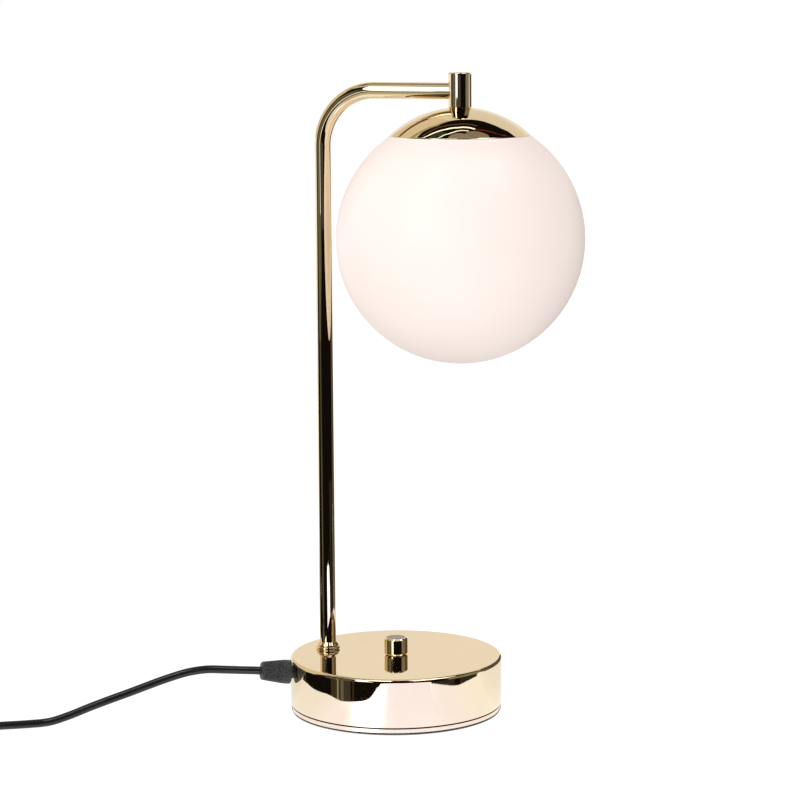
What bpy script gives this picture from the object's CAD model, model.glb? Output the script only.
"""Looks of the table lamp: smooth turned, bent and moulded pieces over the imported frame, their finishes, the cord
at its real length, and a plain studio. Metres throughout, in the frame's own axes: the middle of the base is at the
origin on the surface, the arm points along +X and +Z is up."""

import math

import bpy
import bmesh
import numpy as np
from mathutils import Matrix


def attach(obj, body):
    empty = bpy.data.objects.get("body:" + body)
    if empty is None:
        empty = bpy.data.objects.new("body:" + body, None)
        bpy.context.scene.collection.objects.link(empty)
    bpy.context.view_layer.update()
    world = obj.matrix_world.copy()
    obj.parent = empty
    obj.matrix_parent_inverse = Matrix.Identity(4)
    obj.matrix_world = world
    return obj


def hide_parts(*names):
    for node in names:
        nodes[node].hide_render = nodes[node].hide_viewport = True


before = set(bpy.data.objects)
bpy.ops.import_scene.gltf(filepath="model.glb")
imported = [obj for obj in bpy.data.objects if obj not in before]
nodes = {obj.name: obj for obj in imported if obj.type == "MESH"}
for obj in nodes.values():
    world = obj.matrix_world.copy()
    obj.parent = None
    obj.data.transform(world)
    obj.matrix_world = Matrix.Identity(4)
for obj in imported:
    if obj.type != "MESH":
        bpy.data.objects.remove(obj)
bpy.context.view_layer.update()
MM = 0.001


# ---------------------------------------------------------------- camera

# level directions from the lamp, towards the camera and to the camera's left
TOWARD = np.array([0.3538, -0.9353, 0.0])
LEFT = np.array([-0.9353, -0.3538, 0.0])
UP = np.array([0.0, 0.0, 1.0])
EYE = np.array([596.7, -1567.3, 448.24])
PITCH, ROLL = math.radians(8.63), math.radians(0.39)
SENSOR_WIDTH, LENS = 36.0, 124.62
CLIP_START, CLIP_END = 0.05, 60.0


def linked(name, data):
    """A new object with the given data, in the scene."""
    obj = bpy.data.objects.new(name, data)
    bpy.context.scene.collection.objects.link(obj)
    return obj


def axes_matrix(x, y, z, place):
    """Matrix of an object whose own axes point along x, y and z, at a place in metres."""
    m = np.eye(4)
    m[:3, 0], m[:3, 1], m[:3, 2], m[:3, 3] = x, y, z, place
    return Matrix(m.tolist())


def place_camera():
    """Camera at the picture's eye point, tipped down by the pitch and turned by the roll about its own axis."""
    right, level = -LEFT, -TOWARD
    ahead = level * math.cos(PITCH) - UP * math.sin(PITCH)
    up = level * math.sin(PITCH) + UP * math.cos(PITCH)
    x = math.cos(ROLL) * right - math.sin(ROLL) * up
    y = math.sin(ROLL) * right + math.cos(ROLL) * up
    data = bpy.data.cameras.new("camera")
    data.sensor_width, data.lens = SENSOR_WIDTH, LENS
    data.clip_start, data.clip_end = CLIP_START, CLIP_END
    camera = linked("camera", data)
    camera.matrix_world = axes_matrix(x, y, -ahead, EYE * MM)
    bpy.context.scene.camera = camera


place_camera()


# ---------------------------------------------------------------- shapes

SAME_PLACE = 1e-7  # metres: points of a piece nearer than this are merged


def unit(v):
    """A vector, or each row of an array of them, brought to length one."""
    v = np.asarray(v, float)
    return v / np.maximum(np.linalg.norm(v, axis=-1, keepdims=True), 1e-12)


def full_turn(steps):
    """Angles spaced evenly round a circle."""
    return np.linspace(0, 2 * math.pi, steps, endpoint=False)


def rounded(corners, steps, hold=0.15):
    """Closed outline in millimetres through corners (across, up, fillet). Each fillet is an arc tangent to both
    sides, its centre on the corner's bisector at fillet / sin(half angle), with one point more up to hold further
    along each side to keep the sides flat under smooth shading."""
    pts = np.array([c[:2] for c in corners], float)
    out = []
    for i, p in enumerate(pts):
        r = corners[i][2] if len(corners[i]) > 2 else 0
        if r <= 0:
            out.append(p[None])
            continue
        a, b = pts[i - 1] - p, pts[(i + 1) % len(pts)] - p
        la, lb = np.linalg.norm(a), np.linalg.norm(b)
        a, b = a / la, b / lb
        half = math.acos(max(-1.0, min(1.0, float(a @ b)))) / 2
        reach = r / math.tan(half)
        middle = p + unit(a + b) * r / math.sin(half)
        s, e = p + a * reach - middle, p + b * reach - middle
        a0 = math.atan2(s[1], s[0])
        turn = (math.atan2(e[1], e[0]) - a0 + math.pi) % (2 * math.pi) - math.pi
        t = a0 + turn * np.linspace(0, 1, steps + 1)
        arc = middle + r * np.stack([np.cos(t), np.sin(t)], 1)
        more = [p + a * (reach + min(hold, 0.4 * max(la - reach, 0)))]
        less = [p + b * (reach + min(hold, 0.4 * max(lb - reach, 0)))]
        out.append(np.vstack([more, arc, less]))
    return np.vstack(out)


def grid_faces(rows, columns, wrap_rows, wrap_columns):
    """Quads between the neighbours in a grid of points, numbered row by row."""
    i = np.arange(rows if wrap_rows else rows - 1)[:, None]
    k = np.arange(columns if wrap_columns else columns - 1)[None, :]
    i1, k1 = (i + 1) % rows, (k + 1) % columns
    return np.stack([i * columns + k, i * columns + k1, i1 * columns + k1, i1 * columns + k], -1).reshape(-1, 4)


def turned(profile, steps, axis_x=0.0):
    """Closed profile (across, up) in millimetres carried round the upright axis at (axis_x, 0):
    x = axis_x + across cos(a), y = across sin(a), z = up."""
    a = full_turn(steps)
    r, z = profile[:, :1], profile[:, 1:]
    pts = np.stack([axis_x + r * np.cos(a), r * np.sin(a), z + 0 * a], -1)
    return pts, grid_faces(len(profile), steps, True, True)


def carried(path, radii, sides, ref=(0, 0, 1)):
    """Circle of the given radius carried along a path: path(i) + radius(i) (cos(a) b + sin(a) c), where b and c are
    square to the path's heading and c is square to ref as well."""
    path = np.asarray(path, float)
    heading = unit(np.vstack([path[1] - path[0], path[2:] - path[:-2], path[-1] - path[-2]]))
    c = unit(np.cross(heading, np.asarray(ref, float)))
    b = np.cross(c, heading)
    a = full_turn(sides)[None, :, None]
    r = np.broadcast_to(np.asarray(radii, float), (len(path),))[:, None, None]
    pts = path[:, None] + r * (np.cos(a) * b[:, None] + np.sin(a) * c[:, None])
    return pts, grid_faces(len(path), sides, False, True)


def smooth_line(points, per=6):
    """Curve through the points, each span a cubic whose end slopes are half the chord between its neighbours."""
    p = np.asarray(points, float)
    p = np.vstack([2 * p[0] - p[1], p, 2 * p[-1] - p[-2]])
    t = np.linspace(0, 1, per, endpoint=False)[None, :, None]
    a, b, c, d = (p[i:len(p) - 3 + i][:, None] for i in range(4))
    q = 0.5 * (2 * b + (c - a) * t + (2 * a - 5 * b + 4 * c - d) * t ** 2 + (3 * b - a - 3 * c + d) * t ** 3)
    return np.vstack([q.reshape(-1, 3), p[-2]])


def piece(name, surfaces, body, material, stands_for, sharp=35):
    """One mesh from grids of points in millimetres: joined, its doubles merged, its faces turned outwards and its
    edges sharp where they turn by more than the given degrees."""
    verts, faces, start = [], [], 0
    for pts, quads in surfaces:
        flat = np.asarray(pts, float).reshape(-1, 3)
        verts.append(flat)
        faces.extend((np.asarray(quads) + start).tolist())
        start += len(flat)
    mesh = bpy.data.meshes.new(name)
    mesh.from_pydata((np.vstack(verts) * MM).tolist(), [], faces)
    bm = bmesh.new()
    bm.from_mesh(mesh)
    bmesh.ops.remove_doubles(bm, verts=bm.verts, dist=SAME_PLACE)
    bmesh.ops.recalc_face_normals(bm, faces=bm.faces)
    bm.to_mesh(mesh)
    bm.free()
    mesh.polygons.foreach_set("use_smooth", np.ones(len(mesh.polygons), bool))
    mesh.set_sharp_from_angle(angle=math.radians(sharp))
    mesh.materials.append(material)
    obj = linked(name, mesh)
    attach(obj, body)
    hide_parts(*stands_for)
    return obj


# ---------------------------------------------------------------- finishes

def group(name, inputs, outputs):
    """An empty shader group with named sockets, and its input and output nodes."""
    tree = bpy.data.node_groups.new(name, "ShaderNodeTree")
    for n, kind, value in inputs:
        s = tree.interface.new_socket(name=n, in_out="INPUT", socket_type=kind)
        s.default_value = value
    for n, kind in outputs:
        tree.interface.new_socket(name=n, in_out="OUTPUT", socket_type=kind)
    return tree, tree.nodes.new("NodeGroupInput"), tree.nodes.new("NodeGroupOutput")


def feed(tree, sockets, values):
    """Links each input to the socket in its place among the values, or sets it to the plain value there."""
    for socket, value in zip(sockets, values):
        if isinstance(value, bpy.types.NodeSocket):
            tree.links.new(value, socket)
        else:
            socket.default_value = value


def set_inputs(node, values):
    """Sets a node's inputs by name, with an underscore for each space."""
    for name, value in values.items():
        node.inputs[name.replace("_", " ")].default_value = value


def math_node(tree, operation, *values, clamp=False):
    """A maths step between sockets or plain numbers."""
    n = tree.nodes.new("ShaderNodeMath")
    n.operation, n.use_clamp = operation, clamp
    feed(tree, n.inputs, values)
    return n.outputs[0]


def spread(tree, value, low, high, to_low, to_high):
    """A socket's value mapped from one range onto another and kept inside it."""
    n = tree.nodes.new("ShaderNodeMapRange")
    feed(tree, n.inputs, (value, low, high, to_low, to_high))
    return n.outputs[0]


def noise(tree, vector, scale, detail, rough):
    """Cloud pattern on a piece's own coordinates."""
    n = tree.nodes.new("ShaderNodeTexNoise")
    n.inputs["Detail"].default_value, n.inputs["Roughness"].default_value = detail, rough
    tree.links.new(vector, n.inputs["Vector"])
    tree.links.new(scale, n.inputs["Scale"])
    return n.outputs["Fac"]


def use_group(tree, shared, place, **values):
    """A shared group's node in a material, fed with the place and with plain values by name."""
    n = tree.nodes.new("ShaderNodeGroup")
    n.node_tree = shared
    tree.links.new(place, n.inputs["Vector"])
    set_inputs(n, values)
    return n


def make_wear_group():
    """Handling wear: broad clouds where a surface was wiped and fine specks of dust, as a roughness, a tint share and
    a height."""
    tree, inp, out = group("handling_wear", [
        ("Vector", "NodeSocketVector", (0, 0, 0)), ("Roughness", "NodeSocketFloat", 0.1),
        ("Change", "NodeSocketFloat", 0.05), ("Cloud Size", "NodeSocketFloat", 40.0),
        ("Speck Size", "NodeSocketFloat", 900.0)],
        [("Roughness", "NodeSocketFloat"), ("Tint", "NodeSocketFloat"), ("Height", "NodeSocketFloat")])
    cloud = noise(tree, inp.outputs["Vector"], inp.outputs["Cloud Size"], 4.0, 0.6)
    speck = noise(tree, inp.outputs["Vector"], inp.outputs["Speck Size"], 2.0, 0.7)
    wiped = spread(tree, cloud, 0.35, 0.7, 0.0, 1.0)
    dust = spread(tree, speck, 0.62, 0.74, 0.0, 1.0)
    more = math_node(tree, "MULTIPLY", math_node(tree, "ADD", wiped, dust), inp.outputs["Change"])
    tree.links.new(math_node(tree, "ADD", inp.outputs["Roughness"], more, clamp=True), out.inputs["Roughness"])
    tree.links.new(wiped, out.inputs["Tint"])
    tree.links.new(math_node(tree, "ADD", math_node(tree, "MULTIPLY", cloud, 0.3), speck), out.inputs["Height"])
    return tree


wear_group = make_wear_group()


def finish(name, colour, second, roughness, change, cloud=40.0, speck=900.0, bump=0.0, metallic=0.0, **sockets):
    """A finish on a Principled shader: the colour moves towards a second one and the roughness rises by up to the
    change where the shared wear group says so, with a bump in millimetres where one is given. Cloud and speck are the
    scales of the two patterns, and any other name sets the shader's input of that name."""
    m = bpy.data.materials.new(name)
    m.use_nodes = True
    tree = m.node_tree
    shader = tree.nodes["Principled BSDF"]
    place = tree.nodes.new("ShaderNodeTexCoord")
    wear = use_group(tree, wear_group, place.outputs["Object"], Roughness=roughness, Change=change, Cloud_Size=cloud,
                     Speck_Size=speck)
    mix = tree.nodes.new("ShaderNodeMix")
    mix.data_type = "RGBA"
    mix.inputs["A"].default_value, mix.inputs["B"].default_value = (*colour, 1), (*second, 1)
    tree.links.new(wear.outputs["Tint"], mix.inputs["Factor"])
    tree.links.new(mix.outputs["Result"], shader.inputs["Base Color"])
    tree.links.new(wear.outputs["Roughness"], shader.inputs["Roughness"])
    if bump:
        lift = tree.nodes.new("ShaderNodeBump")
        lift.inputs["Strength"].default_value, lift.inputs["Distance"].default_value = 1.0, bump * MM
        tree.links.new(wear.outputs["Height"], lift.inputs["Height"])
        tree.links.new(lift.outputs["Normal"], shader.inputs["Normal"])
    set_inputs(shader, {"Metallic": metallic, **sockets})
    return m


def make_zone_group():
    """Mask of a round zone about the piece's own upright axis: one inside the radius and above the height."""
    tree, inp, out = group("round_zone", [
        ("Vector", "NodeSocketVector", (0, 0, 0)), ("Radius", "NodeSocketFloat", 0.01),
        ("Height", "NodeSocketFloat", -1.0)], [("Mask", "NodeSocketFloat")])
    split = tree.nodes.new("ShaderNodeSeparateXYZ")
    tree.links.new(inp.outputs["Vector"], split.inputs[0])
    x, y, z = split.outputs
    across = math_node(tree, "SQRT", math_node(tree, "ADD", math_node(tree, "MULTIPLY", x, x),
                                               math_node(tree, "MULTIPLY", y, y)))
    inside = math_node(tree, "LESS_THAN", across, inp.outputs["Radius"])
    above = math_node(tree, "GREATER_THAN", z, inp.outputs["Height"])
    tree.links.new(math_node(tree, "MULTIPLY", inside, above), out.inputs["Mask"])
    return tree


zone_group = make_zone_group()


def mixed(tree, kind, factor, a, b):
    """A mix of two colours or numbers, each a socket or a plain value, by a factor."""
    n = tree.nodes.new("ShaderNodeMix")
    n.data_type = kind
    feed(tree, [i for i in n.inputs if i.enabled and i.name in ("A", "B")], (a, b))
    tree.links.new(factor, next(i for i in n.inputs if i.enabled and i.name == "Factor"))
    return next(o for o in n.outputs if o.enabled)


def with_zone(m, radius, height, colour, roughness):
    """Gives a finish another colour and roughness inside a round zone of the piece, whose radius and least height are
    in millimetres."""
    tree = m.node_tree
    shader = tree.nodes["Principled BSDF"]
    zone = use_group(tree, zone_group, tree.nodes["Texture Coordinate"].outputs["Object"], Radius=radius * MM,
                     Height=height * MM)
    for name, kind, value in (("Base Color", "RGBA", (*colour, 1)), ("Roughness", "FLOAT", roughness)):
        before = shader.inputs[name].links[0].from_socket
        tree.links.new(mixed(tree, kind, zone.outputs["Mask"], before, value), shader.inputs[name])
    return m


# colour, second colour, roughness and its change, then the two pattern scales and the bump where they differ
BRASS = ((0.91, 0.76, 0.515), (0.89, 0.74, 0.495), 0.02, 0.012)
polished = finish("polished_brass", *BRASS, metallic=1.0)
knob_brass = with_zone(finish("knob_brass", *BRASS, metallic=1.0), radius=5.9, height=44.8,
                       colour=(0.22, 0.165, 0.13), roughness=0.16)
plate_brass = with_zone(finish("plate_brass", *BRASS, metallic=1.0), radius=64.7, height=-1,
                        colour=(0.03, 0.028, 0.025), roughness=0.6)
plain_brass = finish("plain_brass", (0.72, 0.54, 0.27), (0.62, 0.44, 0.20), 0.22, 0.12, metallic=1.0)
zinc = finish("zinc_plated_steel", (0.62, 0.63, 0.64), (0.50, 0.52, 0.53), 0.3, 0.15, metallic=1.0)
black_moulding = finish("black_moulding", (0.016, 0.016, 0.017), (0.028, 0.028, 0.029), 0.42, 0.12, 60.0, 1500.0,
                        0.02)
cast_weight = finish("cast_weight", (0.09, 0.09, 0.095), (0.05, 0.05, 0.052), 0.6, 0.2, 50.0, 500.0, 0.15)
foot_rubber = finish("foot_rubber", (0.022, 0.022, 0.023), (0.035, 0.034, 0.033), 0.75, 0.12, 60.0, 900.0, 0.05)
case_plastic = finish("case_plastic", (0.05, 0.05, 0.055), (0.07, 0.07, 0.072), 0.45, 0.1, 80.0, 1200.0, 0.02)
pot_can = finish("pot_can", (0.55, 0.55, 0.54), (0.45, 0.44, 0.42), 0.35, 0.15, metallic=1.0)
board = finish("board_laminate", (0.36, 0.24, 0.10), (0.28, 0.18, 0.07), 0.5, 0.1, 60.0, 1200.0)
winding = finish("choke_winding", (0.55, 0.20, 0.08), (0.42, 0.14, 0.05), 0.3, 0.15, metallic=1.0)
film = finish("capacitor_film", (0.45, 0.08, 0.04), (0.38, 0.06, 0.03), 0.35, 0.1)
grip_moulding = finish("grip_moulding", (0.013, 0.0135, 0.013), (0.058, 0.062, 0.058), 0.27, 0.12, 700.0, 1800.0,
                       0.32)
cord_pvc = finish("cord_pvc", (0.009, 0.009, 0.009), (0.016, 0.016, 0.016), 0.14, 0.06, 70.0, 1100.0, 0.02)
lead_pvc = finish("lead_pvc", (0.50, 0.48, 0.42), (0.42, 0.40, 0.35), 0.4, 0.1)
opal = finish("opal_glass", (0.98, 0.85, 0.795), (0.982, 0.855, 0.80), 0.42, 0.03, 12.0, 400.0)
ceramic = finish("holder_ceramic", (0.80, 0.79, 0.75), (0.72, 0.70, 0.65), 0.3, 0.1)
bulb_metal = finish("bulb_cap_metal", (0.66, 0.65, 0.62), (0.55, 0.54, 0.5), 0.25, 0.12, metallic=1.0)
bulb_plastic = finish("bulb_plastic", (0.86, 0.86, 0.85), (0.82, 0.82, 0.80), 0.4, 0.08, Subsurface_Weight=0.2,
                      Subsurface_Scale=0.004)
tie_plastic = finish("tie_plastic", (0.03, 0.03, 0.032), (0.045, 0.045, 0.046), 0.35, 0.1)
plug_moulding = finish("plug_moulding", (0.017, 0.017, 0.018), (0.028, 0.028, 0.029), 0.45, 0.12, 70.0, 1300.0, 0.03)
pin_metal = finish("pin_metal", (0.66, 0.66, 0.65), (0.56, 0.55, 0.53), 0.2, 0.1, metallic=1.0)

NODE_FINISH = {
    "base_weight": cast_weight, "bottom_plate": plate_brass, "bottom_screws": zinc, "foot_pad": foot_rubber,
    "stem_washer": zinc, "stem_nut": plain_brass, "knob_insert": plain_brass, "dimmer_shaft": zinc,
    "dimmer_bushing": plain_brass, "bushing_washer": zinc, "bushing_nut": zinc, "dimmer_case": case_plastic,
    "dimmer_pot": pot_can, "dimmer_board": board, "dimmer_choke": winding, "dimmer_triac": case_plastic,
    "dimmer_capacitor": film, "terminal_block": ceramic, "inner_lead": cord_pvc, "stem_lead": lead_pvc,
    "head_nipple": plain_brass, "cup_spacer": plain_brass, "globe_cup": plain_brass, "holder_cap": ceramic,
    "holder_skirt": ceramic, "contact_carrier": ceramic, "screw_shell": plain_brass, "centre_contact": plain_brass,
    "bulb_cap": bulb_metal, "bulb_tip": bulb_metal, "bulb_housing": bulb_plastic, "bulb_dome": bulb_plastic,
    "grip_nut": black_moulding, "base_shell": polished, "stem_tube": polished, "stem_collar": polished,
    "dimmer_knob": knob_brass, "head_connector": polished, "dome_cap": polished, "glass_globe": opal,
    "grip_body": grip_moulding, "grip_cap": grip_moulding, "cord": cord_pvc, "cord_coil": cord_pvc,
    "cord_tail": cord_pvc, "coil_tie": tie_plastic, "plug_body": plug_moulding, "plug_relief": plug_moulding,
    "plug_pins": pin_metal,
}
for n, obj in nodes.items():
    obj.data.materials.clear()
    obj.data.materials.append(NODE_FINISH[n])


# ---------------------------------------------------------------- cord, tie and plug

BASE_R, BASE_TOP = 65.5, 34.2
CORD_R = 2.5
LOW_Z, HOLE_Z = 2.6, 27.0  # heights of the cord's middle on the surface and of the hole in the base's wall
TURN_EXIT, TILT_EXIT = math.radians(214), math.radians(6)
EXIT = np.array([math.cos(TURN_EXIT) * math.cos(TILT_EXIT), math.sin(TURN_EXIT) * math.cos(TILT_EXIT),
                 math.sin(TILT_EXIT)])
WALL = np.array([BASE_R * math.cos(TURN_EXIT), BASE_R * math.sin(TURN_EXIT), HOLE_Z])
GRIP_OUT, CORD_HIDDEN = 20.1, 3  # how far the grip reaches out of the wall, and the cord back into the grip
CORD_START = WALL + GRIP_OUT * EXIT
COIL = np.array([-303.0, -140.0])
COIL_START, COIL_TURNS, COIL_BACK, COIL_PITCH, COIL_IN = -59.0, 22 / 3, 3.75, 5.5, 20.0
COIL_LOW_Z, COIL_EASE = 3.3, 0.0025
PLUG_FOOT = np.array([-343.0, -92.0, 6.85])
RELIEF_FOOT = PLUG_FOOT - [0, 15, 0]
PIN_FOOT = PLUG_FOOT + [0, 36, 0]
PIN_ASIDE = 9.5


def cord_route():
    """Places from the grip to the coil, with each height in percent of the way from the lowest place to the hole."""
    plan = np.array([
        [-79.5, -54, 113], [-89, -60, 117], [-99, -66, 120], [-109, -72, 115], [-119.5, -78, 102],
        [-130, -84, 86], [-140.5, -89.5, 69], [-151, -95.5, 53], [-162, -101, 35], [-172.5, -107, 17],
        [-183, -112.5, 3], [-194, -119, 0], [-205, -126, 0], [-216, -133, 0], [-228, -140.5, 0],
        [-240, -148, 0], [-252, -155.5, 0], [-264, -163.5, 2]])
    plan[:, 2] = LOW_Z + plan[:, 2] / 100 * (HOLE_Z - LOW_Z)
    return plan


def coil_points(per_turn=60):
    """Coil: the radius falls by one pitch a turn, eases over after COIL_BACK turns and grows again, and the cord
    climbs to the upper layer in the half turn round that place, along s s (3 - 2 s)."""
    t = np.linspace(0, COIL_TURNS, int(COIL_TURNS * per_turn) + 1)
    a = np.radians(COIL_START - 360 * t)
    r = COIL_IN + COIL_PITCH * np.sqrt((t - COIL_BACK) ** 2 + COIL_EASE)
    s = np.clip((t - COIL_BACK + 0.25) * 2, 0, 1)
    z = COIL_LOW_Z + COIL_PITCH * s * s * (3 - 2 * s)
    return np.stack([COIL[0] + r * np.cos(a), COIL[1] + r * np.sin(a), z], 1)


def out_of_coil(angle):
    """Direction square to the coil's radius, clockwise."""
    a = math.radians(angle)
    return np.array([math.sin(a), -math.cos(a), 0.0])


def cord_centre():
    """The whole centre line: out of the grip, down to the surface, along it, round the coil and to the plug."""
    coil = coil_points()
    first = coil[0] - 5 * out_of_coil(COIL_START)
    last = coil[-1] + 5 * out_of_coil(COIL_START - 360 * COIL_TURNS)
    lead = smooth_line(np.vstack([CORD_START, CORD_START + 5 * EXIT, cord_route(), first, coil[0]]))
    tail = smooth_line(np.vstack([coil[-1], last, [-343, -124, 8.2], [-343, -116, 7.2], RELIEF_FOOT,
                                  RELIEF_FOOT + [0, 3, 0]]))
    return np.vstack([lead[:-1], coil, tail[1:]])


centre_line = cord_centre()
deep = np.vstack([CORD_START - CORD_HIDDEN * EXIT, centre_line])
cord_obj = piece("cord_flex", [carried(deep, CORD_R, 24)], "lamp", cord_pvc,
                 ("cord", "cord_coil", "cord_tail"))


def plug_shape():
    """Flat plug body: at each place y along it an oval with the half width w and the half height h, whose corners
    come from cos and sin raised to a power below one."""
    y = np.array([0, 0, 0.5, 1.2, 3, 6, 9, 13, 17, 19, 24, 30, 33.5, 34.8, 35.6, 36, 36])
    w = np.array([0, 6.3, 7.1, 7.4, 7.7, 8.3, 10.2, 13.6, 16.8, 17.3, 17.5, 17.55, 17.3, 16.9, 16.2, 15.2, 0])
    h = np.array([0, 5.6, 6.4, 6.7, 6.85, 6.85, 6.85, 6.85, 6.85, 6.85, 6.85, 6.85, 6.75, 6.5, 6.1, 5.3, 0])
    a = full_turn(64)
    cx = np.sign(np.cos(a)) * np.abs(np.cos(a)) ** 0.75
    cz = np.sign(np.sin(a)) * np.abs(np.sin(a)) ** 0.55
    pts = PLUG_FOOT + np.stack([w[:, None] * cx, y[:, None] + 0 * cx, h[:, None] * cz], -1)
    return pts, grid_faces(len(y), len(a), False, True)


def along_plug(foot, y):
    """Line of places at the distances y from a foot, along the plug."""
    return foot + np.stack([0 * y, y, 0 * y], 1)


def relief_shape():
    """Tapered sleeve with four rounded grooves: the radius grows evenly and dips by half an ellipse at each."""
    y = np.linspace(0, 15, 91)
    r = 3.6 + 1.4 * y / 15
    groove = sum(np.clip(1 - ((y - 3 * k) / 0.9) ** 2, 0, 1) for k in (1, 2, 3, 4))
    r = np.concatenate([[0, 3.3], r - 0.75 * np.sqrt(groove), [0]])
    r[2] = 3.5
    y = np.concatenate([[0, 0], y, [15]])
    y[2] = 0.25
    return carried(along_plug(RELIEF_FOOT, y), r, 48)


def pins():
    """Two pins with sleeves and round ends: radius against place along each pin, the places a hair apart where two
    are the same."""
    y = np.array([0, 0, 9.9, 10, 10, 16.9, 17.5, 18.1, 18.6, 18.9, 19])
    r = np.array([0, 1.85, 1.85, 1.85, 2, 2, 1.9, 1.67, 1.2, 0.62, 0])
    y = y + 1e-4 * np.arange(len(y))
    return [carried(along_plug(PIN_FOOT + [side * PIN_ASIDE, 0, 0], y), r, 32) for side in (-1, 1)]


def tie_shape():
    """Strap: a rounded rectangle round the turns, its outline carried across the strap's width."""
    span, top, t, half_width, start_r = 26.625, 11.6, 0.6, 4.5, 17
    inner = rounded([(0, t, 2.0), (span, t, 2.0), (span, top, 2.0), (0, top, 2.0)], 8)
    outer = rounded([(-t, 0, 2.6), (span + t, 0, 2.6), (span + t, top + t, 2.6), (-t, top + t, 2.6)], 8)
    a = math.radians(COIL_START + 110)
    radial, across = np.array([math.cos(a), math.sin(a), 0]), np.array([-math.sin(a), math.cos(a), 0])
    foot = np.array([COIL[0], COIL[1], 0]) + start_r * radial
    pts = np.stack([foot + loop[:, :1] * radial + loop[:, 1:] * UP + side * half_width * across
                    for loop, side in ((outer, -1), (outer, 1), (inner, 1), (inner, -1))])
    return pts, grid_faces(len(pts), len(inner), True, True)


plug = piece("plug_shell", [plug_shape()], "lamp", plug_moulding, ("plug_body",), 50)
relief = piece("plug_sleeve", [relief_shape()], "lamp", plug_moulding, ("plug_relief",), 50)
pin_pair = piece("plug_pin_pair", pins(), "lamp", pin_metal, ("plug_pins",), 50)
tie = piece("cord_tie", [tie_shape()], "lamp", tie_plastic, ("coil_tie",), 40)


# ---------------------------------------------------------------- base, stem and knob

SHELL_T, SHELL_FOOT = 1.2, 4.6
shell_profile = rounded([(BASE_R - SHELL_T, SHELL_FOOT), (BASE_R, SHELL_FOOT, 0.2), (BASE_R, BASE_TOP, 2.1),
                         (0, BASE_TOP), (0, BASE_TOP - SHELL_T), (BASE_R - SHELL_T, BASE_TOP - SHELL_T, 1.0)], 14)
piece("base_cover", [turned(shell_profile, 320)], "lamp", polished, ("base_shell",))

STEM_X, BEND_X, BEND_Z, BEND_R = -45.5, -11.5, 348.3, 34.0
ARM_Z = 382.3
TUBE_R, BORE_R = 5.0, 4.0


def stem_line():
    """Up from the foot, round a quarter circle and along the arm."""
    a = np.linspace(math.pi, math.pi / 2, 73)
    up = np.array([[STEM_X, 0, z] for z in (12.0, 30, 60, 120, 200, 300, 340, 346)])
    bend = np.stack([BEND_X + BEND_R * np.cos(a), 0 * a, BEND_Z + BEND_R * np.sin(a)], 1)
    arm = np.array([[x, 0, ARM_Z] for x in (-9.5, 0, 20, 40.4)])
    return np.vstack([up, bend, arm])


def tube_wall(path, r_out, r_in, sides=96):
    """Outer wall one way and inner wall back, joined by rings at both ends."""
    outer, inner = (carried(path, r, sides, (0, 1, 0))[0] for r in (r_out, r_in))
    pts = np.concatenate([outer, inner[::-1]])
    return pts, grid_faces(len(pts), sides, True, True)


piece("stem_and_arm", [tube_wall(stem_line(), TUBE_R, BORE_R)], "lamp", polished, ("stem_tube",))

# a round bead, a neck and a cone up to the stem
collar_profile = rounded([(5.02, BASE_TOP), (7.5, BASE_TOP, 0.9), (7.5, 36.3, 0.9), (6.3, 36.3), (6.75, 36.7, 0.2),
                          (6.75, 37.15, 0.3), (5.25, 38.95, 0.15), (5.02, 39.0)], 10, 0.05)
piece("stem_foot_ring", [turned(collar_profile, 160, STEM_X)], "lamp", polished, ("stem_collar",),
      40)

knob_profile = rounded([(0, 34.5), (6.83, 34.5, 0.1), (7.3, 35.3, 0.15), (7.3, 44.1, 0.12), (6.5, 44.9, 0.12),
                        (0, 44.9)], 6, 0.05)
piece("knob_cap", [turned(knob_profile, 160)], "knob", knob_brass, ("dimmer_knob",))


# ---------------------------------------------------------------- head

HEAD_X = 43.4
JOINT_FOOT, JOINT_TOP = 372.2, 393.4
joint_profile = rounded([(0, JOINT_FOOT), (6.55, JOINT_FOOT, 0.1), (7, 372.95, 0.15), (7, JOINT_TOP, 1.0),
                         (0, JOINT_TOP)], 12)
piece("arm_joint", [turned(joint_profile, 160, HEAD_X)], "lamp", polished, ("head_connector",))

CAP_R, CAP_T, CAP_MID, CAP_RIM_R, CAP_BORE_R = 62.0, 1.0, 310.655, 42.0, 5.1
GLOBE_R, GLASS_T, GLOBE_MID = 75.0, 2.4, 293.73
SHOULDER_Z, NECK_R, NECK_TOP = 355.86, 27.5, 362.98


def ball_line(radius, mid, a):
    """Places on a ball's outline: across = radius sin(a), up = mid + radius cos(a)."""
    return np.stack([radius * np.sin(a), mid + radius * np.cos(a)], 1)


def cap_profile():
    """Shallow cap: an arc from the bore to the rim, one a wall's thickness inside it, and a half round between."""
    rim = math.asin(CAP_RIM_R / CAP_R)
    a = np.linspace(math.asin(CAP_BORE_R / CAP_R), rim, 90)
    t = np.linspace(math.pi / 2 - rim, -math.pi / 2 - rim, 9)
    lip = ball_line(CAP_R - CAP_T / 2, CAP_MID, np.array([rim])) + CAP_T / 2 * np.stack([np.cos(t), np.sin(t)], 1)
    return np.vstack([ball_line(CAP_R, CAP_MID, a)[:-1], lip, ball_line(CAP_R - CAP_T, CAP_MID, a[::-1])[1:]])


piece("spun_cap", [turned(cap_profile(), 240, HEAD_X)], "lamp", polished, ("dome_cap",))


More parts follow.
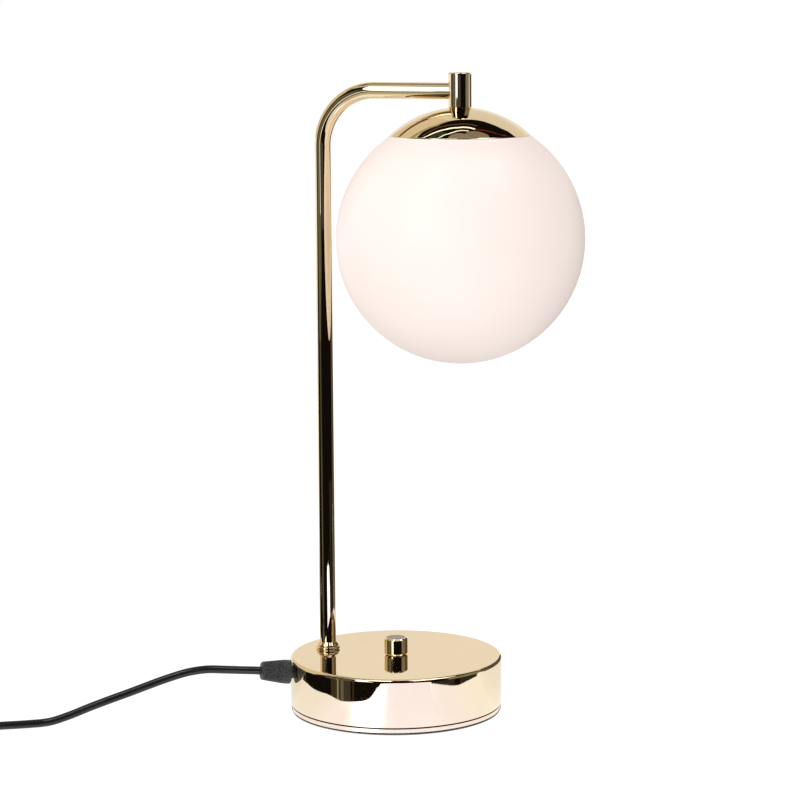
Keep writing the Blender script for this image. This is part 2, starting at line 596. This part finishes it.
def globe_profile():
    """Ball cut off by a flat shoulder with a rounded edge, with a straight neck, and one wall inside."""
    edge_drop, inner_drop = 1.2, 0.4
    neck_bore, under = NECK_R - GLASS_T, SHOULDER_Z - GLASS_T
    top = math.acos((SHOULDER_Z - GLOBE_MID - edge_drop) / GLOBE_R)
    out = ball_line(GLOBE_R, GLOBE_MID, np.linspace(math.pi, top, 200))
    edge_r = out[-1][0]
    edge = rounded([out[-1], (edge_r - 1.1, SHOULDER_Z, 0.8), (NECK_R, SHOULDER_Z, 1.0), (NECK_R, NECK_TOP, 0.9),
                    (neck_bore, NECK_TOP, 0.9), (neck_bore, under, 1.0), (edge_r - 3.4, under, 1.0)], 6)
    inside = math.acos((under - GLOBE_MID - inner_drop) / (GLOBE_R - GLASS_T))
    inn = ball_line(GLOBE_R - GLASS_T, GLOBE_MID, np.linspace(inside, math.pi, 160))
    return np.vstack([out[:-1], edge, inn[1:]])


piece("opal_globe", [turned(globe_profile(), 256, HEAD_X)], "globe", opal, ("glass_globe",), 40)


# ---------------------------------------------------------------- cord grip

SIDE = unit(np.cross(EXIT, [0, 0, 1]))
OVER = np.cross(SIDE, EXIT)


def on_exit(profile, steps, depth=None, count=0):
    """Profile (radius, distance from the base's axis) carried round the cord grip's axis. Where a depth is given, the
    radius dips by depth times a rounded tooth, count times round."""
    a = full_turn(steps)
    r, w = profile[:, :1] + 0 * a, profile[:, 1:] + 0 * a
    if depth is not None:
        tooth = 1 - np.abs(np.cos(a * count / 2)) ** 0.8
        r = r - depth[:, None] * tooth
    ring = np.cos(a)[:, None] * OVER + np.sin(a)[:, None] * SIDE
    pts = WALL + (w[..., None] - BASE_R) * EXIT + r[..., None] * ring
    return pts, grid_faces(len(profile), steps, True, True)


GRIP_R, GRIP_BORE_R, GRIP_JOINT = 7.4, 2.6, 71.0
body_profile = rounded([(GRIP_BORE_R, 58.3), (4, 58.3), (4, 67.1), (GRIP_R, 67.1, 0.25), (GRIP_R, GRIP_JOINT, 0.5),
                        (GRIP_BORE_R, GRIP_JOINT)], 8)
piece("grip_collar", [on_exit(body_profile, 120)], "lamp", grip_moulding, ("grip_body",))


def knurled_cap():
    """Tapered cap: the radius falls evenly and ends in a quarter round, and fine ribs run out at both ends."""
    taper_end, round_r, fall, rib_depth, ribs = 84.0, 1.6, 1.9, 0.34, 40
    tip = taper_end + round_r
    w = np.linspace(GRIP_JOINT, taper_end, 66)
    r = GRIP_R - fall * (w - GRIP_JOINT) / (tip - GRIP_JOINT)
    t = np.linspace(0, math.pi / 2, 9)
    end = np.stack([r[-1] - round_r + round_r * np.cos(t), taper_end + round_r * np.sin(t)], 1)
    outer = np.vstack([[[GRIP_BORE_R, GRIP_JOINT], [GRIP_R - 0.4, GRIP_JOINT]], np.stack([r, w], 1)[1:], end[1:],
                       [[GRIP_BORE_R, tip]]])
    place = outer[:, 1]
    depth = rib_depth * np.clip((place - 71.6) / 0.7, 0, 1) * np.clip((84.4 - place) / 0.9, 0, 1)
    return on_exit(outer, 480, depth, ribs)


piece("grip_knurled_cap", [knurled_cap()], "lamp", grip_moulding, ("grip_cap",), 60)


# ---------------------------------------------------------------- studio

MIDDLE = np.array([0, 0, 0.2])  # about the lamp's middle: the room's, and what the soft lamps aim at


def direction(az, el):
    """Directions at azimuths counted from the camera's side to its left, and elevations from the horizon, in radians:
    cos(el) (cos(az) TOWARD + sin(az) LEFT) + sin(el) UP."""
    az, el = np.asarray(az)[..., None], np.asarray(el)[..., None]
    return np.cos(el) * (np.cos(az) * TOWARD + np.sin(az) * LEFT) + np.sin(el) * UP


def only_seen_by(obj, camera=False, diffuse=False, glossy=False, transmission=False, shadow=False):
    """Says which rays meet an object of the studio."""
    obj.visible_camera, obj.visible_diffuse, obj.visible_glossy = camera, diffuse, glossy
    obj.visible_transmission, obj.visible_shadow, obj.visible_volume_scatter = transmission, shadow, False


def stage_mesh(name, pts, quads, material):
    """A mesh of the studio, which is no part of the lamp."""
    mesh = bpy.data.meshes.new(name)
    mesh.from_pydata(np.asarray(pts, float).reshape(-1, 3).tolist(), [], np.asarray(quads).tolist())
    mesh.materials.append(material)
    obj = linked(name, mesh)
    return obj


def bare_material(name):
    """A material with no shader yet, and its tree."""
    m = bpy.data.materials.new(name)
    m.use_nodes = True
    m.node_tree.nodes.remove(m.node_tree.nodes["Principled BSDF"])
    return m, m.node_tree


def glow(name, colour, strength):
    """Plain light of one colour."""
    m, tree = bare_material(name)
    e = tree.nodes.new("ShaderNodeEmission")
    e.inputs["Color"].default_value, e.inputs["Strength"].default_value = (*colour, 1), strength
    tree.links.new(e.outputs[0], tree.nodes["Material Output"].inputs["Surface"])
    return m


def seen_directly(tree):
    """One for the rays of the camera, of mirrors and through glass, and nought for the light that falls on things."""
    rays = tree.nodes.new("ShaderNodeLightPath")
    seen = math_node(tree, "MAXIMUM", rays.outputs["Is Camera Ray"], rays.outputs["Is Transmission Ray"])
    return math_node(tree, "MAXIMUM", seen, rays.outputs["Is Glossy Ray"])


FLOOR_HALF = 6.0
FLOOR_LIGHT, FLOOR_SEEN, FLOOR_GREY = 0.67, 0.93, 0.22
UNDER_R, UNDER_SHARE = 0.0645, 0.2  # the floor under the base gives this share of its light
WORLD_LIGHT, WORLD_SEEN = 0.84, 1.0


def floor_material():
    """White ground: its own light, a little more where it is seen, and a diffuse share that takes the shadow. From
    below it is clear, so that the lamp's underside can be seen."""
    m, tree = bare_material("floor_white")
    strength = spread(tree, seen_directly(tree), 0.0, 1.0, FLOOR_LIGHT, FLOOR_SEEN)
    place = tree.nodes.new("ShaderNodeTexCoord")
    under = use_group(tree, zone_group, place.outputs["Object"], Radius=UNDER_R)
    strength = math_node(tree, "MULTIPLY", strength, spread(tree, under.outputs["Mask"], 0.0, 1.0, 1.0, UNDER_SHARE))
    e = tree.nodes.new("ShaderNodeEmission")
    tree.links.new(strength, e.inputs["Strength"])
    d = tree.nodes.new("ShaderNodeBsdfDiffuse")
    d.inputs["Color"].default_value = (FLOOR_GREY, FLOOR_GREY, FLOOR_GREY, 1)
    both = tree.nodes.new("ShaderNodeAddShader")
    tree.links.new(e.outputs[0], both.inputs[0])
    tree.links.new(d.outputs[0], both.inputs[1])
    side = tree.nodes.new("ShaderNodeNewGeometry")
    clear = tree.nodes.new("ShaderNodeBsdfTransparent")
    one_way = tree.nodes.new("ShaderNodeMixShader")
    tree.links.new(side.outputs["Backfacing"], one_way.inputs["Fac"])
    tree.links.new(both.outputs[0], one_way.inputs[1])
    tree.links.new(clear.outputs[0], one_way.inputs[2])
    tree.links.new(one_way.outputs[0], tree.nodes["Material Output"].inputs["Surface"])
    return m


floor_corners = [(FLOOR_HALF * x, FLOOR_HALF * y, 0) for x, y in ((-1, -1), (1, -1), (1, 1), (-1, 1))]
floor = stage_mesh("floor", floor_corners, [[0, 1, 2, 3]], floor_material())
only_seen_by(floor, camera=True, diffuse=True, transmission=True, shadow=True)

# azimuth in degrees, reach in metres, and the brightness at the base, halfway and at the end
TABLE_RIM = np.array([
    (-176, 0.42, 0.80, 0.55, 0.5), (-150, 0.42, 0.85, 0.6, 0.5), (-142, 0.26, 0.85, 0.8, 0.75),
    (-100, 0.23, 0.95, 0.9, 0.85), (-88, 0.22, 1.0, 0.95, 0.9), (-84.5, 0.20, 1.0, 1.0, 1.0),
    (-82.4, 0.171, 1.0, 1.0, 1.0),
    (-75.2, 0.170, 1.0, 1.0, 1.0), (-68, 0.1687, 1.0, 1.0, 1.0), (-62, 0.1664, 1.0, 1.0, 1.0),
    (-57.7, 0.1654, 1.0, 1.0, 1.0), (-53.6, 0.1668, 1.0, 1.0, 1.0), (-49.5, 0.1693, 1.0, 1.0, 1.0),
    (-45.6, 0.1732, 1.0, 1.0, 1.0), (-37.5, 0.180, 1.02, 1.0, 1.0), (-31.8, 0.184, 1.04, 1.0, 1.1),
    (-30, 0.30, 1.05, 1.0, 1.9), (-24, 0.38, 1.05, 1.0, 2.0), (-12, 0.40, 1.05, 1.0, 2.0),
    (0, 0.40, 1.05, 1.0, 2.0), (6, 0.38, 1.1, 1.05, 2.0), (9, 0.28, 1.2, 1.3, 2.0), (12, 0.20, 1.7, 1.6, 1.9),
    (14.3, 0.1835, 1.9, 1.9, 1.9), (16.7, 0.1772, 1.9, 1.9, 1.9), (18.1, 0.1689, 1.9, 1.9, 1.9),
    (21.6, 0.1524, 1.8, 1.9, 1.9), (23.8, 0.1472, 1.5, 1.9, 1.9), (27.5, 0.1422, 1.15, 1.8, 1.9),
    (31.3, 0.1398, 1.0, 1.5, 1.9), (35.1, 0.1379, 1.0, 1.15, 1.5), (38.9, 0.1359, 1.0, 1.0, 1.2),
    (46.5, 0.1333, 1.0, 1.0, 1.05), (49.8, 0.1346, 1.0, 1.0, 1.0), (57.7, 0.1392, 0.97, 0.97, 0.97),
    (63.6, 0.1410, 0.95, 0.95, 0.95), (71.8, 0.1397, 0.93, 0.93, 0.93), (89.6, 0.1443, 0.92, 0.92, 0.92),
    (99, 0.1468, 0.90, 0.90, 0.90), (101, 0.20, 0.88, 0.86, 0.8), (105, 0.22, 0.86, 0.82, 0.7),
    (130, 0.24, 0.82, 0.75, 0.6), (136, 0.40, 0.80, 0.70, 0.5), (140, 0.55, 0.80, 0.7, 0.45),
    (184, 0.42, 0.80, 0.55, 0.5)])
TABLE_RED, TABLE_GREEN, TABLE_BLUE = 1.075, 1.084, 0.935


def tabletop():
    """The part of the white ground that the polished metal sees, in rings round the base whose outermost follows the
    rows of TABLE_RIM. Under the base it is dark. Towards the camera it is cooler, by the fourth power of
    cos(az / 2)."""
    inner, dark_edge, light_edge, halfway_most, dark = 0.02, 0.0665, 0.0675, 0.19, 0.02
    az, reach = np.radians(TABLE_RIM[:, 0]), TABLE_RIM[:, 1]
    same = np.ones_like(az)
    radii = np.stack([inner * same, dark_edge * same, light_edge * same,
                      np.minimum(halfway_most, 0.5 * (light_edge + reach)), reach])
    shade = np.stack([dark * same, dark * same, TABLE_RIM[:, 2], TABLE_RIM[:, 3], TABLE_RIM[:, 4]])
    blue = 1.10 + 0.46 * np.cos(az / 2) ** 4 + 0 * shade
    colour = np.stack([TABLE_RED * shade, TABLE_GREEN * shade, TABLE_BLUE * blue * shade, np.ones_like(shade)], -1)
    pts = radii[..., None] * direction(az, 0 * az)
    return pts, grid_faces(len(radii), len(az), False, False), colour.reshape(-1, 4)


def coloured_glow(name):
    """Light whose colour and strength are the mesh's own attribute called shade."""
    m = glow(name, (1, 1, 1), 1.0)
    tree = m.node_tree
    shade = tree.nodes.new("ShaderNodeAttribute")
    shade.attribute_name = "shade"
    tree.links.new(shade.outputs["Color"], tree.nodes["Emission"].inputs["Color"])
    return m


table_pts, table_quads, table_shade = tabletop()
table = stage_mesh("tabletop", table_pts, table_quads, coloured_glow("tabletop_white"))
shade = table.data.attributes.new("shade", "FLOAT_COLOR", "POINT")
shade.data.foreach_set("color", table_shade.astype(np.float32).ravel())
only_seen_by(table, glossy=True)


ROOM_LEVEL = 0.935  # share of each patch's listed strength
PATCH_STEP = 5  # degrees: the widest quad of a patch


def room_patch(name, rows, distance, colour, strength):
    """Part of a ball round the lamp, seen by mirrors alone. Each row gives two places as azimuth, elevation, azimuth,
    elevation, in degrees, and the patch is the strip between the two lines of places."""
    rows = np.array(rows, float)
    widest = max(np.abs(rows[:, 2:] - rows[:, :2]).max(), 1)
    step = np.abs(np.diff(rows, axis=0)).max(1)
    along = np.concatenate([i + np.linspace(0, 1, max(1, math.ceil(d / PATCH_STEP)), endpoint=False)
                            for i, d in enumerate(step)] + [[len(rows) - 1]])
    rows = np.stack([np.interp(along, np.arange(len(rows)), rows[:, k]) for k in range(4)], 1)
    t = np.linspace(0, 1, math.ceil(widest / PATCH_STEP) + 1)[None, :]
    a = np.radians(rows[:, :1] + (rows[:, 2:3] - rows[:, :1]) * t)
    e = np.radians(rows[:, 1:2] + (rows[:, 3:] - rows[:, 1:2]) * t)
    pts = distance * direction(a, e) + MIDDLE
    light = glow(name + "_light", colour, ROOM_LEVEL * strength)
    only_seen_by(stage_mesh(name, pts, grid_faces(*a.shape, False, False), light), glossy=True)


def box(az0, az1, el0, el1):
    """Rows of a patch with upright sides."""
    return [(az0, el0, az1, el0), (az0, el1, az1, el1)]


def arc(places, low, high):
    """Rows of a patch that follows a line of places, from so far below it to so far above."""
    return [(a, e - low, a, e + high) for a, e in places]


WHITE, WARM, OLIVE = (1.0, 1.0, 1.0), (0.95, 0.88, 0.78), (1.0, 0.93, 0.68)
BROWN, DARK_RED, GREY = (1.0, 0.55, 0.30), (1.0, 0.04, 0.06), (1.0, 0.86, 0.76)
BACK_TOP = [(96, 50), (133, 51), (139, 53), (144, 55.5), (156, 59), (167, 57.5), (178, 56), (188, 54.5), (198, 51),
            (206, 49), (214, 46), (217, 42), (226, 38), (240, 36)]
CEILING_ARC = [(110, 50), (123, 58), (129, 63), (141, 67), (155, 70), (177, 71.3), (199, 69.5), (211, 69)]
CEILING_LINE = [(100, 68), (119, 74), (143, 77.5), (160, 78), (173, 77), (207, 75)]
BROWN_LINE = [(130, 57), (138, 60), (151, 62), (161, 64), (178, 65), (197, 63), (206, 63)]
# name, rows, distance in metres, colour and strength, and where two overlap the nearer one is seen
ROOM = [
    ("room_dark", box(0, 360, -90, 90), 6.0, (1.0, 0.82, 0.66), 0.006),
    # the white backdrop, cooler below, whose left edge leans
    ("room_back_low", [(140, -40, 262, -40), (134, -13.9, 262, -13.9), (116, -9, 262, -9), (100, -3, 262, -3),
                       (98, 3, 262, 3)], 5.1, WHITE, 1.08),
    ("room_back", [(a, 2.9, a, e) for a, e in BACK_TOP], 5.0, WARM, 1.0),
    ("room_back_high", [(a, 22, a, e) for a, e in BACK_TOP], 4.95, WARM, 0.88),
    ("room_back_left", [(96, 4, 155, 4), (96, 8, 160, 8), (96, 22, 166, 22), (96, 44, 168, 44), (96, 50, 172, 57)],
     4.9, (1.0, 0.87, 0.64), 0.78),
    ("room_back_edge", [(96, 44, 96, 50), (133, 45, 133, 51), (139, 47.5, 139, 53), (144, 51, 144, 55.5),
                        (156, 56, 156, 59), (167, 56, 167, 57.5), (178, 55.8, 178, 56)],
     4.88, (0.95, 0.75, 0.45), 0.45),
    ("room_back_near", [(203, -32, 258, -32), (202, -16, 258, -16), (202, -6, 258, -6), (208, 6, 252, 6),
                        (216, 22, 256, 22)], 0.5, GREY, 0.10),
    ("room_back_near_brown", box(246, 262, -20, 4), 0.49, BROWN, 0.16),
    ("room_right", box(-118, -58, -6, 44), 5.2, OLIVE, 0.24),
    # the left side of the room, with one lighter upright
    ("room_left", [(50, -17, 74, -17), (52, -6.5, 80, -6.5), (34, -5, 82, -5), (34, 8, 82, 8), (50, 14, 82, 14),
                   (50, 30, 82, 30)], 5.2, OLIVE, 0.13),
    ("room_left_low", [(50, -17, 74, -17), (52, -7, 80, -7)], 5.15, OLIVE, 0.05),
    ("room_left_post", box(64.6, 66.6, -17, 14), 5.1, OLIVE, 0.30),
    ("room_left_streak", box(58.5, 62, -17, -10), 5.1, OLIVE, 0.15),
    ("room_brown_a", box(115, 118, -17, -12), 5.0, BROWN, 0.06),
    ("room_brown_b", box(70, 73, -17, -12), 5.0, BROWN, 0.06),
    ("room_brown_c", box(46, 48, -17, -12), 5.0, BROWN, 0.05),
    ("room_red", box(-73, -66, -17, -11), 5.0, DARK_RED, 0.018),
    ("room_right_dust", box(-98, -44, -17, -11), 5.3, OLIVE, 0.03),
    ("room_front_grey", box(-5, 31, -4, 0.5), 5.2, (1.0, 0.85, 0.95), 0.06),
    ("room_front_line", box(-1, 1, -4, 0.5), 5.1, WHITE, 0.16),
    ("room_window", [(24, 8.0, 42, 8.0), (26, 14, 43, 14), (31, 24, 46, 24), (36, 35, 52, 35), (42, 56, 60, 56)],
     1.3, WHITE, 2.4),
    ("room_window_sill", box(24, 42, 5.5, 6.75), 1.3, WHITE, 2.2),
    ("room_window_foot", box(39.5, 44, 0, 5.5), 1.3, WHITE, 1.5),
    # below
    ("room_low", box(0, 360, -90, -48), 5.0, (1.0, 0.98, 0.95), 1.1),
    ("room_low_side", box(130, 380, -48, -17), 5.3, (1.0, 0.98, 0.95), 0.9),
    ("room_low_left", box(20, 130, -48, -17), 5.3, OLIVE, 0.55),
    # overhead: the lamps' white sheets with dark between them, and what the cap shows
    ("room_top_left", box(8, 56, 56, 74), 5.0, WHITE, 4.0),
    ("room_top_side", box(56, 112, 50, 71), 5.0, WARM, 0.65),
    ("room_top_right", box(-104, -27, 52, 74), 5.0, WHITE, 2.6),
    ("room_top", box(0, 360, 80.5, 90), 5.0, GREY, 0.30),
    ("room_top_beige", [(207, 77, 207, 81), (214, 73, 214, 81), (227, 68, 227, 81), (236, 65, 236, 81),
                        (256, 66, 256, 81)], 5.0, GREY, 0.27),
    ("room_top_arc", arc(CEILING_ARC, 1.1, 1.1), 4.9, WHITE, 1.7),
    ("room_top_line", arc(CEILING_LINE, 0.7, 0.7), 4.9, WHITE, 1.5),
    ("room_top_green", arc([(100, 58), (119, 67), (129, 70), (143, 73)], 4, 4), 4.95, (0.7, 1.0, 0.8), 0.05),
    ("room_top_brown", arc(BROWN_LINE, 0.6, 0.9), 4.9, BROWN, 0.16),
    ("room_top_red", arc([(213, 70), (220, 65), (225, 60.5), (229, 57), (230, 53), (227, 48)], 1.6, 1.6), 4.85,
     (1.0, 0.16, 0.07), 0.20),
]
for row in ROOM:
    room_patch(*row)


def soft_lamp(name, az, el, distance, side, power):
    """A square white soft lamp aimed at the lamp's middle."""
    d = direction(math.radians(az), math.radians(el))
    data = bpy.data.lights.new(name, "AREA")
    data.shape, data.size, data.energy = "SQUARE", side, power
    obj = linked(name, data)
    z = unit(d)
    x = unit(np.cross(UP, z))
    obj.matrix_world = axes_matrix(x, np.cross(z, x), z, d * distance + MIDDLE)
    obj.visible_glossy = False


# name, azimuth, elevation, distance, side in metres and power in watts
LAMPS = [
    ("lamp_left", 20, 15, 2.4, 1.6, 17),
    ("lamp_top", 0, 85, 2.4, 1.8, 1.5),
    ("lamp_back_left", 118, 6, 2.4, 1.6, 6.5),
]
for row in LAMPS:
    soft_lamp(*row)


def make_world():
    """White for the camera, mirrors and glass, and a plain even light for everything else."""
    world = bpy.data.worlds.new("studio")
    bpy.context.scene.world = world
    world.use_nodes = True
    tree = world.node_tree
    back = tree.nodes["Background"]
    tree.links.new(spread(tree, seen_directly(tree), 0.0, 1.0, WORLD_LIGHT, WORLD_SEEN), back.inputs["Strength"])
    back.inputs["Color"].default_value = (1, 1, 1, 1)


make_world()
bpy.context.scene.view_settings.view_transform = "Standard"
